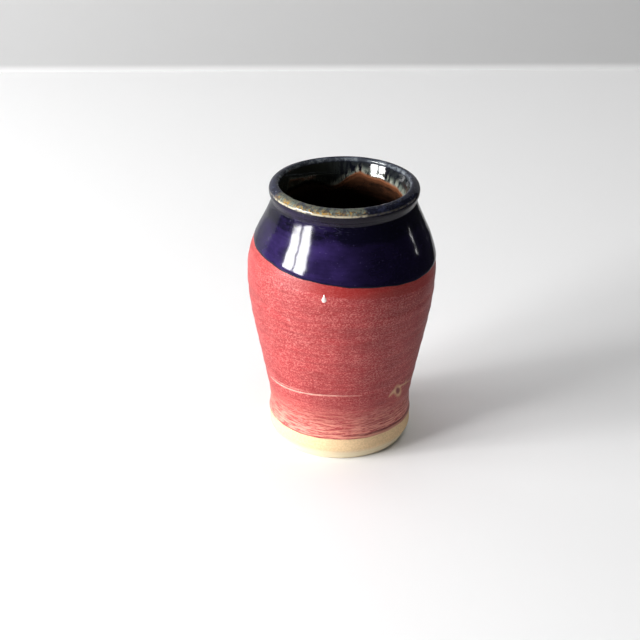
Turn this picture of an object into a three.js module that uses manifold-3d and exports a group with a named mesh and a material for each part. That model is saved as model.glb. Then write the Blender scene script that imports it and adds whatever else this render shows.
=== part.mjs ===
// A small wheel-thrown stoneware vase with a wide mouth: one clay pot and the four glaze coats
// that are fused to it. Millimetres, +Z up, the foot stands on z = 0 and the axis is +Z.
// Every piece is a body of revolution. The coats are offsets of the clay's own outline, so they
// follow any change of its shape.

import * as THREE from "three";
import { mergeVertices } from "three/addons/utils/BufferGeometryUtils.js";
import Module from "manifold-3d";

const wasm = await Module();
wasm.setup();

// ---- Driving dimensions -------------------------------------------------------------------

// Foot: a flat ring, a chamfer trimmed round it, and a band of bare clay up to the glaze.
const footRadius = 29.7;
const footRingWidth = 5.4; // the flat ring that the vase stands on
const recessDepth = 1.8; // the shallow hollow trimmed under the floor
const bandRadius = 32.8; // widest point of the bare band, at the top of the chamfer
const chamferHeight = 5.85;
const glazeHeight = 11.7; // where the rose glaze was wiped back to

// Outside of the clay, as radii and as rises stacked from the foot up.
const waistRadius = 31.05; // corner where the band's line and the wall's line would meet
const waistHeight = 19.7;
const wallFlare = 0.187; // how far the wall leans out just above the waist, mm per mm
const bellyRadius = 42.1;
const bellyRise = 66.3; // from the waist to the belly
const neckRadius = 31.7;
const neckRise = 32.9; // from the belly to the crease under the lip
const neckTaper = 0.273; // how far the shoulder still leans in at the crease, mm per mm

// Lip: rolled outwards, its top sloping down and out from a crest near the inner edge.
const lipOverhang = 1.5; // how far the lip stands out past the neck
const lipThickness = 2.8;
const lipFlankRise = 5.1; // from the crease to the lip's outer edge
const lipCrestRise = 2.2; // from the outer edge to the crest
const innerEdgeRise = 1.0; // from the outer edge to the inner edge

// Inside of the clay.
const floorHeight = 7.5; // the floor's top, above the table
const neckWall = 3.6;
const bellyWall = 4.2;
const lowerWall = 4.8;
const floorBend = 14; // height above the waist's corner taken by the turn from wall to floor

// Glaze coats.
const coatThickness = 0.5;
const fusingGap = 0.3; // left between a coat and the clay, and between two coats
const dipDepth = 31.4; // from the lip's crest down to the cobalt's edge, on the axis
const dipTilt = 5.85; // the pot was dipped slightly askew, degrees
const dipBearing = 175; // the side where the cobalt stops highest, degrees from +X
const overlapDepth = 14.2; // from the crest down to where the brown liner shows bare

const segments = 36; // facets round the axis
const curveSteps = 5; // straight steps along each curve of an outline

// ---- Places that follow from them -----------------------------------------------------------

const recessRim = footRadius - footRingWidth;
const recessRadius = recessRim - recessDepth; // its slope rises at 45 degrees to the rim
const bellyHeight = waistHeight + bellyRise;
const neckHeight = bellyHeight + neckRise;
const lipEdgeHeight = neckHeight + lipFlankRise;
const crestHeight = lipEdgeHeight + lipCrestRise;
const bandTaper = (bandRadius - waistRadius) / (waistHeight - chamferHeight);
const glazeRadius = bandRadius - bandTaper * (glazeHeight - chamferHeight);
const throatRadius = neckRadius - neckWall;
const lipRadius = neckRadius + lipOverhang;
const lipInnerRadius = lipRadius - lipThickness;
const linerHeight = crestHeight - overlapDepth;

// ---- Outlines, as half sections in the plane of radius and height -----------------------------

// The underside, the chamfer and the bare band, from the axis out to the glaze line.
function footLine() {
  const line = new THREE.Path();
  line.moveTo(0, recessDepth);
  line.lineTo(recessRadius, recessDepth);
  line.lineTo(recessRim, 0);
  line.lineTo(footRadius, 0);
  line.lineTo(bandRadius, chamferHeight);
  line.lineTo(glazeRadius, glazeHeight);
  return line.getPoints(curveSteps);
}

// The outer wall from the glaze line: in to the waist, out to the belly, in over the shoulder to
// the crease, and out again along the lip's flank to its outer edge.
function wallLine() {
  const turn = (waistHeight - glazeHeight) / 2;
  const wallStart = new THREE.Vector2(waistRadius + wallFlare * turn, waistHeight + turn);
  const flareHandle = (bellyHeight - wallStart.y) * 0.48;
  const bellyHandleDown = (bellyHeight - wallStart.y) * 0.29;
  const bellyHandleUp = neckRise * 0.41;
  const neckHandle = neckRise * 0.4;
  const flankHandle = lipFlankRise * 0.4;
  const line = new THREE.Path();
  line.moveTo(glazeRadius, glazeHeight);
  line.quadraticCurveTo(waistRadius, waistHeight, wallStart.x, wallStart.y);
  line.bezierCurveTo(
    wallStart.x + wallFlare * flareHandle, wallStart.y + flareHandle,
    bellyRadius, bellyHeight - bellyHandleDown,
    bellyRadius, bellyHeight,
  );
  line.bezierCurveTo(
    bellyRadius, bellyHeight + bellyHandleUp,
    neckRadius + neckTaper * neckHandle, neckHeight - neckHandle,
    neckRadius, neckHeight,
  );
  line.bezierCurveTo(
    neckRadius, neckHeight + flankHandle,
    lipRadius, lipEdgeHeight - flankHandle,
    lipRadius, lipEdgeHeight,
  );
  return line.getPoints(curveSteps);
}

// The lip's top from its outer edge, over the crest to its inner edge, and down the throat.
function lipLine() {
  const innerEdgeHeight = lipEdgeHeight + innerEdgeRise;
  const throatDrop = innerEdgeHeight - linerHeight;
  const line = new THREE.Path();
  line.moveTo(lipRadius, lipEdgeHeight);
  line.bezierCurveTo(
    lipRadius - 0.1, lipEdgeHeight + lipCrestRise * 0.68,
    lipInnerRadius + 0.1, lipEdgeHeight + lipCrestRise * 1.45,
    lipInnerRadius, innerEdgeHeight,
  );
  line.bezierCurveTo(
    lipInnerRadius - 0.2, innerEdgeHeight - throatDrop * 0.35,
    throatRadius, linerHeight + throatDrop * 0.5,
    throatRadius, linerHeight,
  );
  return line.getPoints(curveSteps);
}

// The inside below the throat: out under the shoulder, down the wall, and round to the floor.
function insideLine() {
  const bellyInside = bellyRadius - bellyWall;
  const bendTop = new THREE.Vector2(
    waistRadius + wallFlare * floorBend - lowerWall,
    waistHeight + floorBend,
  );
  const wallDrop = bellyHeight - bendTop.y;
  const shoulderDrop = linerHeight - bellyHeight;
  const floorReach = bendTop.x * 0.4;
  const bendDrop = bendTop.y - floorHeight;
  const line = new THREE.Path();
  line.moveTo(throatRadius, linerHeight);
  line.bezierCurveTo(
    throatRadius + shoulderDrop * 0.05, linerHeight - shoulderDrop * 0.28,
    bellyInside, bellyHeight + shoulderDrop * 0.45,
    bellyInside, bellyHeight,
  );
  line.bezierCurveTo(
    bellyInside, bellyHeight - wallDrop * 0.3,
    bendTop.x + wallFlare * wallDrop * 0.45, bendTop.y + wallDrop * 0.45,
    bendTop.x, bendTop.y,
  );
  line.bezierCurveTo(
    bendTop.x - wallFlare * bendDrop * 0.8, floorHeight + bendDrop * 0.2,
    bendTop.x - floorReach * 0.5, floorHeight,
    bendTop.x - floorReach, floorHeight,
  );
  line.lineTo(0, floorHeight);
  return line.getPoints(curveSteps);
}

// ---- Shapes ---------------------------------------------------------------------------------

// Turns a half section about the axis. The section runs with its solid on the left-hand side.
function revolve(section) {
  return new THREE.LatheGeometry(section, segments).rotateX(Math.PI / 2);
}

// Joins outlines end to end, dropping each point that repeats the one before it.
function joinLines(...lines) {
  const points = lines.flat();
  return points.filter((point, i) => i === 0 || point.distanceTo(points[i - 1]) > 1e-6);
}

// A line moved sideways, to the right of its own direction, by a distance. Its corners are
// mitred, so the distance is kept all along, and an end on the axis stays on the axis.
function offsetLine(line, distance) {
  const sides = line.slice(1).map((point, i) => {
    const along = point.clone().sub(line[i]).normalize();
    return new THREE.Vector2(along.y, -along.x);
  });
  return line.map((point, i) => {
    const before = sides[Math.max(i - 1, 0)];
    const after = sides[Math.min(i, sides.length - 1)];
    const mitre = before.clone().add(after).divideScalar(1 + before.dot(after));
    return point.clone().addScaledVector(mitre, distance);
  });
}

// A line shortened at both ends by a distance. An end on the axis is left where it is.
function trimLine(line, distance) {
  const trimmed = line.map((point) => point.clone());
  const last = line.length - 1;
  const pullIn = (end, next) => {
    if (line[end].x < 1e-6) return;
    const step = line[next].clone().sub(line[end]).setLength(distance);
    trimmed[end].add(step);
  };
  pullIn(0, 1);
  pullIn(last, last - 1);
  return trimmed;
}

// The coat over a stretch of clay: a skin between two offsets of the line, its edges bevelled.
function coatOver(clayLine) {
  const covered = trimLine(clayLine, fusingGap / 2);
  const inner = offsetLine(covered, fusingGap);
  const outer = trimLine(offsetLine(covered, fusingGap + coatThickness), coatThickness / 2);
  const section = [...inner.reverse(), ...outer];
  const onAxis = section[0].x < 1e-6;
  return revolve(onAxis ? section : [...section, section[0].clone()]);
}

// ---- Cutting a coat along a dipped edge ---------------------------------------------------------

// A closed geometry as a solid that can be cut.
function toSolid(geometry) {
  const bare = geometry.clone();
  bare.deleteAttribute("normal");
  bare.deleteAttribute("uv");
  const merged = mergeVertices(bare);
  return new wasm.Manifold(new wasm.Mesh({
    numProp: 3,
    vertProperties: merged.attributes.position.array,
    triVerts: new Uint32Array(merged.index.array),
  }));
}

// A cut solid back as a geometry.
function toGeometry(solid) {
  const mesh = solid.getMesh();
  const geometry = new THREE.BufferGeometry();
  geometry.setAttribute("position", new THREE.BufferAttribute(mesh.vertProperties, 3));
  geometry.setIndex(new THREE.BufferAttribute(mesh.triVerts, 1));
  const flat = geometry.toNonIndexed();
  flat.computeVertexNormals();
  return flat;
}

// The liquid that the upturned pot was dipped in reached down to a tilted plane. This is the
// space below that plane, raised along the plane's own normal by a distance.
function belowDip(raised) {
  const reach = crestHeight + bellyRadius;
  const block = new THREE.BoxGeometry(4 * reach, 4 * reach, 2 * reach);
  block.translate(0, 0, raised - reach);
  block.rotateY(-THREE.MathUtils.degToRad(dipTilt));
  block.rotateZ(THREE.MathUtils.degToRad(dipBearing));
  block.translate(0, 0, crestHeight - dipDepth);
  return toSolid(block);
}

// ---- Pieces ---------------------------------------------------------------------------------

const vase = new THREE.Group();

function addPiece(name, geometry, color, roughness) {
  const material = new THREE.MeshStandardMaterial({ color, roughness, metalness: 0 });
  const piece = new THREE.Mesh(geometry, material);
  piece.name = name;
  vase.add(piece);
}

const outsideCoat = toSolid(coatOver(wallLine()));
const wholeOutline = joinLines(footLine(), wallLine(), lipLine(), insideLine());

addPiece("clay_body", revolve(wholeOutline), 0xdcc39a, 0.85);
addPiece("rose_glaze", toGeometry(outsideCoat.intersect(belowDip(-fusingGap / 2))), 0xb5524f, 0.25);
addPiece("cobalt_glaze", toGeometry(outsideCoat.subtract(belowDip(fusingGap / 2))), 0x1e1440, 0.12);
addPiece("lip_glaze", coatOver(joinLines(lipLine())), 0x4a4f66, 0.18);
addPiece("liner_glaze", coatOver(joinLines(insideLine())), 0x3a2114, 0.3);

export default vase;
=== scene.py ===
"""A small wheel-thrown stoneware vase with rose, cobalt and brown glazes, on a pale table.

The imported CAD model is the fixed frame. Every visible piece is a closed surface turned about the
vase's axis. Lengths inside the shape functions are in millimetres, angles are in degrees from +X
towards +Y, and a finished mesh is in metres.
"""

import math

import bpy
import numpy as np
from bpy.props import FloatProperty, FloatVectorProperty, PointerProperty
from mathutils import Matrix, Vector


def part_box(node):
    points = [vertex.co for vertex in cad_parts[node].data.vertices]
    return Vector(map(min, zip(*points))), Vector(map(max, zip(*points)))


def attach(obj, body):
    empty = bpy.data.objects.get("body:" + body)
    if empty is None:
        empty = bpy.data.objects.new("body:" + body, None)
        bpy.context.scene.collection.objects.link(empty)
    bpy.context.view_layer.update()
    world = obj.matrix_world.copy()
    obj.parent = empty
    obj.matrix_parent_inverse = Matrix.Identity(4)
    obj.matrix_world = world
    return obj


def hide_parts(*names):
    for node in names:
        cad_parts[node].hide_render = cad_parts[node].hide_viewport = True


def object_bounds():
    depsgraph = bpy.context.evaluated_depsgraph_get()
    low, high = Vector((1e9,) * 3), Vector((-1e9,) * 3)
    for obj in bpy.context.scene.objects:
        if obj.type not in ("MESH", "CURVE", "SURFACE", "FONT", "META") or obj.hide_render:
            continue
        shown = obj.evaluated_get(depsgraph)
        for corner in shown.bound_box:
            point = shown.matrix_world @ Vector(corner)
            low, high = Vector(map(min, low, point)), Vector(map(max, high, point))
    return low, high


bl_info = {
    "name": "Two-glaze stoneware vase",
    "version": (1, 0, 0),
    "blender": (4, 5, 0),
    "location": "View3D > Sidebar > Vase",
    "description": "Builds a thrown stoneware vase, its glaze coats and a pale studio",
    "category": "Object",
}

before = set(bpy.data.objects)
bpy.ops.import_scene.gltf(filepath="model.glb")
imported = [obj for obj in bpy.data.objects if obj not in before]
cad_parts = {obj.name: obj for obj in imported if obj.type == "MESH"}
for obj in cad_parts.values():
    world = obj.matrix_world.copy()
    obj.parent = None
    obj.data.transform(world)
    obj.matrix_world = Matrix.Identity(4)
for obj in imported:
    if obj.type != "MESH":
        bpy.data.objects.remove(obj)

METRE = 1000.0  # millimetres in a metre
CAD_LOW, CAD_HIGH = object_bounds()
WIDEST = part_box("clay_body")[1].x
ROSE_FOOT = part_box("rose_glaze")[0].z
ROSE_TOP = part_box("rose_glaze")[1].z
COBALT_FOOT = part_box("cobalt_glaze")[0].z
LIP_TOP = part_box("lip_glaze")[1].z
GLAZE_STAND = 0.0004  # metres that the fired clay's radius is over the CAD clay's
LINE_DROP = 0.0002  # metres that the rose coat's edge lies under the CAD coat's
LIP_COAT = 0.0005  # metres from the top of the CAD lip's coat down to the fired clay


# ---- Sizes and colours that a user would change -------------------------------------------------

def length(name, text, default):
    """A length property, in metres."""
    return FloatProperty(name=name, description=text, default=default, unit="LENGTH", precision=5)


def colour(name, text, default):
    """A colour property, as linear red, green and blue."""
    return FloatVectorProperty(
        name=name, description=text, default=default, size=3, subtype="COLOR", min=0, max=1
    )


class VaseShape(bpy.types.PropertyGroup):
    """Sizes of the fired clay and of what the thrower's hands left on it."""

    foot_radius: length("Foot radius", "Outer edge of the ring that the vase stands on", 0.0297)
    ring_radius: length("Ring's inner radius", "Inner edge of the foot ring", 0.0243)
    recess_depth: length("Recess depth", "Hollow trimmed under the floor", 0.0018)
    chamfer_height: length("Chamfer height", "Top of the chamfer trimmed round the foot", 0.0058)
    band_radius: length("Band radius", "Bare clay band at the top of the chamfer", 0.0328)
    glaze_line: length("Glaze line", "Height of the rose coat's lower edge", ROSE_FOOT - LINE_DROP)
    waist_radius: length("Waist radius", "Corner of the band's line and the wall's", 0.03155)
    waist_height: length("Waist height", "Height of the waist's corner", 0.0194)
    belly_radius: length("Belly radius", "Widest radius", WIDEST + GLAZE_STAND)
    belly_height: length("Belly height", "Height of the widest radius", 0.0855)
    neck_radius: length("Neck radius", "Crease under the lip", 0.0320)
    neck_height: length("Neck height", "Height of the crease under the lip", 0.1188)
    lip_radius: length("Lip radius", "Outer edge of the rolled lip", 0.03345)
    crest_height: length("Crest height", "Highest point of the clay lip", LIP_TOP - LIP_COAT)
    throat_radius: length("Throat radius", "Narrowest radius inside", 0.0276)
    throat_height: length("Throat height", "Height of the narrowest radius inside", 0.1140)
    floor_height: length("Floor height", "Top of the floor inside", 0.0079)
    ring_swell: length("Throwing rings", "Height of the rings outside", 0.00009)
    inner_swell: length("Inner rings", "Height of the finger ridges inside", 0.00022)
    lean: length("Lean", "How far the lip sits to one side of the foot", 0.0009)
    rim_tilt: length("Rim tilt", "How far the rim rises at the front and falls at the back", 0.00095)
    oval: length("Oval", "How far the wall is out of round", 0.00012)


class VaseGlaze(bpy.types.PropertyGroup):
    """Colours of the clay and the glazes, and how the coats lie."""

    coat: length("Coat thickness", "Thickness of a single coat", 0.0004)
    overlap: length("Overlap", "How far the rose coat runs up under the cobalt", 0.0012)
    dip_height: length(
        "Dip height", "Middle height of the cobalt's lower edge", (ROSE_TOP + COBALT_FOOT) / 2
    )
    dip_swing: length(
        "Dip swing", "Rise and fall of that edge round the vase", (ROSE_TOP - COBALT_FOOT) / 2
    )
    clay: colour("Clay", "Bare buff stoneware", (0.83, 0.60, 0.35))
    foot_clay: colour("Foot clay", "Paler clay on the trimmed chamfer", (0.84, 0.74, 0.54))
    rose: colour("Rose", "Rose glaze where it is thick", (0.36, 0.025, 0.029))
    rose_fleck: colour("Rose fleck", "Pale flecks floating in the rose glaze", (0.78, 0.27, 0.24))
    rose_thin: colour("Thin rose", "Rose glaze wiped thin over clay", (0.80, 0.33, 0.25))
    rose_deep: colour("Deep rose", "Rose glaze in the band under the cobalt", (0.34, 0.018, 0.012))
    hem: colour("Hem", "Thin glaze along the rose coat's lower edge", (0.52, 0.24, 0.16))
    scratch: colour("Scratch", "The line scratched round the hip", (0.84, 0.52, 0.42))
    drip: colour("Drip", "The pale drip under the cobalt", (0.85, 0.72, 0.68))
    # The drip's pale colour is a painted highlight on the raised glaze bead.
    scar: colour("Scar", "Bare clay in the torn glaze", (0.66, 0.40, 0.24))
    cobalt: colour("Cobalt", "Cobalt glaze where it is thick", (0.0030, 0.0024, 0.0095))
    # Thin cobalt is partly painted light: it shows most on the side that the window lights.
    thin_and_lit_cobalt: colour("Thin cobalt", "Cobalt glaze where it is thin", (0.050, 0.028, 0.150))
    cobalt_speck: colour("Cobalt speck", "Fine specks in the cobalt", (0.13, 0.11, 0.24))
    cobalt_flank: colour("Cobalt flank", "Cobalt under the lip", (0.014, 0.009, 0.018))
    cobalt_crawl: colour("Cobalt crawl", "Cobalt broken by the crease", (0.20, 0.20, 0.28))
    slate: colour("Slate", "Lip glaze where it is dark", (0.008, 0.009, 0.018))
    slate_speck: colour("Slate speck", "Pale specks in the slate", (0.18, 0.19, 0.22))
    # Painted highlight: the pale line along the crest's inner edge.
    crest_highlight: colour("Brim", "Slate broken thin over the crest", (0.16, 0.18, 0.19))
    moss: colour("Moss", "Warm side of the lip away from its edge", (0.085, 0.095, 0.075))
    soot: colour("Soot", "Dark freckles on the warm side", (0.035, 0.040, 0.040))
    sky: colour("Sky", "Pale blue streaks in the lip glaze", (0.17, 0.20, 0.17))
    honey: colour("Honey", "Honey streaks in the lip glaze", (0.33, 0.19, 0.045))
    # Cream also paints the rim's highlight: the line along the outer edge is partly a painted
    # highlight.
    cream: colour("Cream", "Glaze broken thin over an edge", (0.62, 0.55, 0.39))
    fringe: colour("Fringe", "Pale streaks over the amber", (0.38, 0.37, 0.30))
    # Shade and shaded ends are painted shade: the lip glaze inside, darkened on the side of the
    # throat away from the window.
    shade: colour("Shade", "Lip glaze inside on the dark side", (0.008, 0.009, 0.006))
    shaded_ends: colour("Dregs", "Ends of the lip glaze on the dark side", (0.004, 0.0035, 0.0025))
    # Amber is the liner's thin edge, shown only on the side of the throat that the window lights:
    # partly painted light.
    amber: colour("Amber", "Brown liner glaze where it is thin", (0.16, 0.060, 0.028))
    umber: colour("Umber", "Brown liner glaze where it is thick", (0.009, 0.005, 0.0035))


class VaseStudio(bpy.types.PropertyGroup):
    """The table, the wall, the window and the camera."""

    table: colour("Table", "Pale table top", (0.82, 0.82, 0.82))
    wall: colour("Wall", "Pale wall behind the table", (0.42, 0.42, 0.42))
    wall_distance: length("Wall distance", "From the vase's axis to the wall", 0.4525)
    wall_skew: FloatProperty(
        name="Wall skew", description="The wall's turn from square", default=math.radians(2.7),
        subtype="ANGLE",
    )
    window_height: length("Window height", "Middle of the window above the table", 0.43)
    window_distance: length("Window distance", "From the vase's axis to the window", 1.2)
    window_power: FloatProperty(
        name="Window power", description="Radiant power of one pane, in watts", default=13.0
    )
    ceiling_power: FloatProperty(
        name="Ceiling power", description="Radiant power of the soft light overhead, in watts",
        default=11.0,
    )
    fill_power: FloatProperty(
        name="Fill power", description="Radiant power of the soft light at the left, in watts",
        default=5.0,
    )
    room: FloatProperty(name="Room light", description="Strength of the light overhead", default=0.25)
    camera_distance: length("Camera distance", "From the camera to the aim", 1.10713)


# ---- The half outline ---------------------------------------------------------------------------

OUTLINE_STEP = 0.1  # millimetres along the outline
NORMAL_REACH = 3  # outline steps to each side over which a normal is averaged
FLARE = 0.187  # widening of the lower wall for each unit of height
HIP_RUN = 4.6  # millimetres of height from the waist's corner to the end of its curve
LINE_SHARE = 0.72  # the glaze line's share of the way from the waist's radius to the band's
LIP_EDGE = 0.0026  # metres from the lip's crest down to its outer edge
CREST_IN = 0.0029  # metres from the lip's outer edge in to its crest
THROAT_EDGE = (0.00195, 0.0021)  # metres out from the throat, and down from the crest
BELLY_WALL = 0.0045  # metres of clay at the belly
INNER_HIP = (0.0026, 0.014)  # metres in from the waist's corner, and up from it


def smooth(value, low, high):
    """0 below low, 1 above high, and 3t^2 - 2t^3 of the share t between them."""
    share = np.clip((value - low) / (high - low), 0, 1)
    return share * share * (3 - 2 * share)


def bezier(start, first_pull, second_pull, end, steps=60):
    """Cubic curve: (1-t)^3 start + 3(1-t)^2 t first + 3(1-t) t^2 second + t^3 end."""
    t = np.linspace(0, 1, steps)[:, None]
    start, first_pull, second_pull, end = map(np.asarray, (start, first_pull, second_pull, end))
    return (
        (1 - t) ** 3 * start
        + 3 * (1 - t) ** 2 * t * first_pull
        + 3 * (1 - t) * t**2 * second_pull
        + t**3 * end
    )


def softened(corners, cuts):
    """A line through corners, where each inner corner is a quadratic curve that leaves the line a
    cut before the corner and joins it a cut after."""
    corners = np.asarray(corners, float)
    parts = [corners[:1]]
    for before, corner, after, cut in zip(corners[:-2], corners[1:-1], corners[2:], cuts):
        enter = corner + (before - corner) * cut / np.linalg.norm(before - corner)
        leave = corner + (after - corner) * cut / np.linalg.norm(after - corner)
        t = np.linspace(0, 1, 12)[:, None]
        parts.append((1 - t) ** 2 * enter + 2 * (1 - t) * t * corner + t**2 * leave)
    parts.append(corners[-1:])
    return np.concatenate(parts)


class Outline:
    """Half a section of the fired clay, from the axis under the foot, up the outside, over the
    lip and down the inside to the axis: radius, height and outward normal against the length
    along it, in millimetres."""

    def __init__(self, shape):
        points = np.concatenate([
            self.foot(shape), self.wall(shape)[1:], self.lip(shape)[1:], self.inside(shape)[1:],
        ])
        run = np.concatenate([[0], np.cumsum(np.linalg.norm(np.diff(points, axis=0), axis=1))])
        self.s = np.linspace(0, run[-1], int(run[-1] / OUTLINE_STEP) + 1)
        self.r = np.interp(self.s, run, points[:, 0])
        self.z = np.interp(self.s, run, points[:, 1])
        turn_r = self.averaged(np.gradient(self.r))
        turn_z = self.averaged(np.gradient(self.z))
        size = np.hypot(turn_r, turn_z)
        self.nr = turn_z / size
        self.nz = -turn_r / size
        self.crest = int(np.argmax(self.z))
        self.band = self.band_start()

    @staticmethod
    def averaged(values):
        """Each value's average with its neighbours, weighted by a raised cosine."""
        kernel = np.hanning(2 * NORMAL_REACH + 1)
        return np.convolve(
            np.pad(values, NORMAL_REACH, mode="edge"), kernel / kernel.sum(), "valid"
        )

    def band_start(self):
        """Index of the last point that lies on the table, from where the outside rises."""
        return int(np.argmin(np.abs(self.s - self.s[self.z < 0.01].max())))

    @staticmethod
    def glaze_corner(shape):
        """The point on the bare band where the wall's curve starts, in metres."""
        step = LINE_SHARE * (shape.band_radius - shape.waist_radius)
        return shape.waist_radius + step, shape.glaze_line + 0.001

    @staticmethod
    def foot(shape):
        """Straight lines with softened corners: recess, foot ring, chamfer and bare band."""
        recess = shape.ring_radius - shape.recess_depth
        corners = np.array([
            (0, shape.recess_depth * 1.15),
            (recess, shape.recess_depth),
            (shape.ring_radius, 0),
            (shape.foot_radius, 0),
            (shape.band_radius, shape.chamfer_height),
            Outline.glaze_corner(shape),
        ]) * METRE
        return softened(corners, (1.0, 0.7, 0.45, 1.3))

    @staticmethod
    def wall(shape):
        """A quadratic curve round the waist, a cubic curve out to the belly, one in to the
        crease, and one along the lip's flank."""
        low = np.array(Outline.glaze_corner(shape)) * METRE
        waist = np.array((shape.waist_radius, shape.waist_height)) * METRE
        slope = np.array((FLARE, 1.0))
        start = waist + slope * HIP_RUN
        belly = np.array((shape.belly_radius, shape.belly_height)) * METRE
        neck = np.array((shape.neck_radius, shape.neck_height)) * METRE
        span = belly[1] - start[1]
        reach = neck[1] - belly[1]
        up = np.array((0, 1.0))
        lip = np.array((shape.lip_radius, shape.crest_height - LIP_EDGE)) * METRE
        flank = lip[1] - neck[1]
        t = np.linspace(0, 1, 40)[:, None]
        hip = (1 - t) ** 2 * low + 2 * (1 - t) * t * waist + t**2 * start
        return np.concatenate([
            hip,
            bezier(start, start + slope * span * 0.49, belly - up * span * 0.29, belly, 200)[1:],
            bezier(belly, belly + up * reach * 0.41,
                   neck + np.array((0.29, -1.0)) * reach * 0.39, neck, 100)[1:],
            bezier(neck, neck + np.array((0.08, 0.45)) * flank,
                   lip - up * flank * 0.45, lip, 40)[1:],
        ])

    @staticmethod
    def lip(shape):
        """Cubic curves that slope up and in from a tight outer edge to the crest, then round a
        tight inner edge, and down the flare to the throat."""
        outer = np.array((shape.lip_radius, shape.crest_height - LIP_EDGE)) * METRE
        crest = np.array((shape.lip_radius - CREST_IN, shape.crest_height)) * METRE
        out, down = THROAT_EDGE
        flare = np.array((shape.throat_radius + out, shape.crest_height - down)) * METRE
        throat = np.array((shape.throat_radius, shape.throat_height)) * METRE
        drop = flare[1] - throat[1]
        return np.concatenate([
            bezier(outer, outer + (0, 1.35), crest + (1.75, -0.30), crest, 60),
            bezier(crest, crest + (-0.75, 0.12), flare + (0.55, 0.75), flare, 60)[1:],
            bezier(flare, flare - np.array((0.42, 1.0)) * drop * 0.28,
                   throat + (0, drop * 0.52), throat, 60)[1:],
        ])

    @staticmethod
    def inside(shape):
        """Cubic curves from the throat out under the shoulder, down the wall and into the floor."""
        throat = np.array((shape.throat_radius, shape.throat_height)) * METRE
        belly = np.array((shape.belly_radius - BELLY_WALL, shape.belly_height)) * METRE
        inward, up = INNER_HIP
        low = np.array((shape.waist_radius - inward, shape.waist_height + up)) * METRE
        floor = np.array((low[0] * 0.6, shape.floor_height * METRE))
        span = belly[1] - low[1]
        drop = throat[1] - belly[1]
        bend = low[1] - floor[1]
        slope = np.array((FLARE, 1.0))
        return np.concatenate([
            bezier(throat, throat - (0, drop * 0.28), belly + (0, drop * 0.5), belly, 80),
            bezier(belly, belly - (0, span * 0.3), low + slope * span * 0.45, low, 120)[1:],
            bezier(low, low - slope * bend * 0.8, floor + (low[0] * 0.2, 0), floor, 80)[1:],
            np.array([(0.0, floor[1])]),
        ])

    def outside_at(self, height):
        """Length along the outline where the outside has this height."""
        part = slice(self.band, self.crest)
        return np.interp(height, self.z[part], self.s[part])

    def inside_at(self, height):
        """Length along the outline where the inside has this height."""
        part = slice(self.crest, None)
        return np.interp(-np.asarray(height), -self.z[part], self.s[part])


# ---- The turned surface -------------------------------------------------------------------------

def wave(turn, *terms):
    """Sum of size * cos(count * turn - bearing) over the terms (size, count, bearing)."""
    total = 0.0
    for size, count, bearing in terms:
        total = total + size * np.cos(np.radians(count * turn - bearing))
    return total


def turn_steps():
    """Angles of the mesh's columns: one degree apart, and closer near the drip and the scar."""
    return np.concatenate([
        np.arange(0, 256, 1.0), np.arange(256, 263, 0.25), np.arange(263, 306, 1.0),
        np.arange(306, 348, 0.5), np.arange(348, 360, 1.0),
    ])[None, :]


SHOULDER = (82, 92)  # millimetres of height over which the rings fade out


def ring(height, turn, pitch, starts, phase):
    """A sine that climbs one pitch for each start in one turn of the wheel."""
    return np.sin(2 * np.pi * height / pitch - starts * np.radians(turn) + phase)


def rings(height, turn):
    """Throwing rings: sines of three pitches that come and go slowly up the wall. The shoulder is
    smoother, and without the finest of them."""
    shoulder = smooth(height, *SHOULDER)
    strength = (0.75 + 0.25 * np.sin(height / 11.0 + 0.5)) * (1 - 0.5 * shoulder)
    return strength * (
        ring(height, turn, 8.3, 1, 0.6)
        + 0.45 * ring(height, turn, 5.1, 1, 2.0)
        + 0.16 * (1 - shoulder) * ring(height, turn, 2.3, 2, 0.0)
    )


def surface(outline, shape, s, turn, lift):
    """The point at length s along the outline, turned to an angle and lifted along the normal.
    Rings are added to the lift, the oval to the radius, the lip's wave to the height, and the
    lean to X. Returns X, Y and Z stacked last, in millimetres."""
    r = np.interp(s, outline.s, outline.r)
    z = np.interp(s, outline.s, outline.z)
    nr = np.interp(s, outline.s, outline.nr)
    nz = np.interp(s, outline.s, outline.nz)
    crest = outline.s[outline.crest]
    near_lip = np.exp(-(((s - crest) / 7.0) ** 2))
    outward = np.where(s < crest, shape.ring_swell, shape.inner_swell) * METRE
    swell = outward * rings(z, turn) * (1 - 0.9 * near_lip) * smooth(z, 8, 20)
    reach = lift + swell
    oval = shape.oval * METRE * wave(turn, (1, 2, 40), (0.5, 3, 200))
    radius = r + nr * reach + oval * smooth(z, 6, 30)
    height = z + nz * reach
    height = height + smooth(z, 104, 124) * (
        wave(turn, (shape.rim_tilt * METRE, 1, 270), (0.15, 2, 0), (0.05, 5, 10)) - 0.15
    )
    shift = shape.lean * METRE * smooth(z, 74, 126)
    angle = np.radians(turn)
    return np.stack(
        np.broadcast_arrays(radius * np.cos(angle) + shift, radius * np.sin(angle), height), axis=-1
    )


# Millimetres from an edge to each of the rows near it
EDGE_MARKS = np.array([0, 0.02, 0.06, 0.12, 0.2, 0.3, 0.42, 0.56, 0.75, 1.0, 1.4])


def spread(total, step=0.7, fine=()):
    """Shares from 0 to 1 along a total length: close together at both edges, one step apart
    between, and three tenths of a step apart inside each fine stretch (low, high)."""
    marks = [np.arange(0, total, step), EDGE_MARKS, total - EDGE_MARKS]
    for low, high in fine:
        marks.append(np.arange(low, high, step * 0.3))
    marks = np.unique(np.round(np.concatenate(marks + [[total]]), 3))
    marks = marks[np.concatenate([[True], np.diff(marks) > 0.015])]
    marks[-1] = total
    return (marks / total)[:, None]


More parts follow.
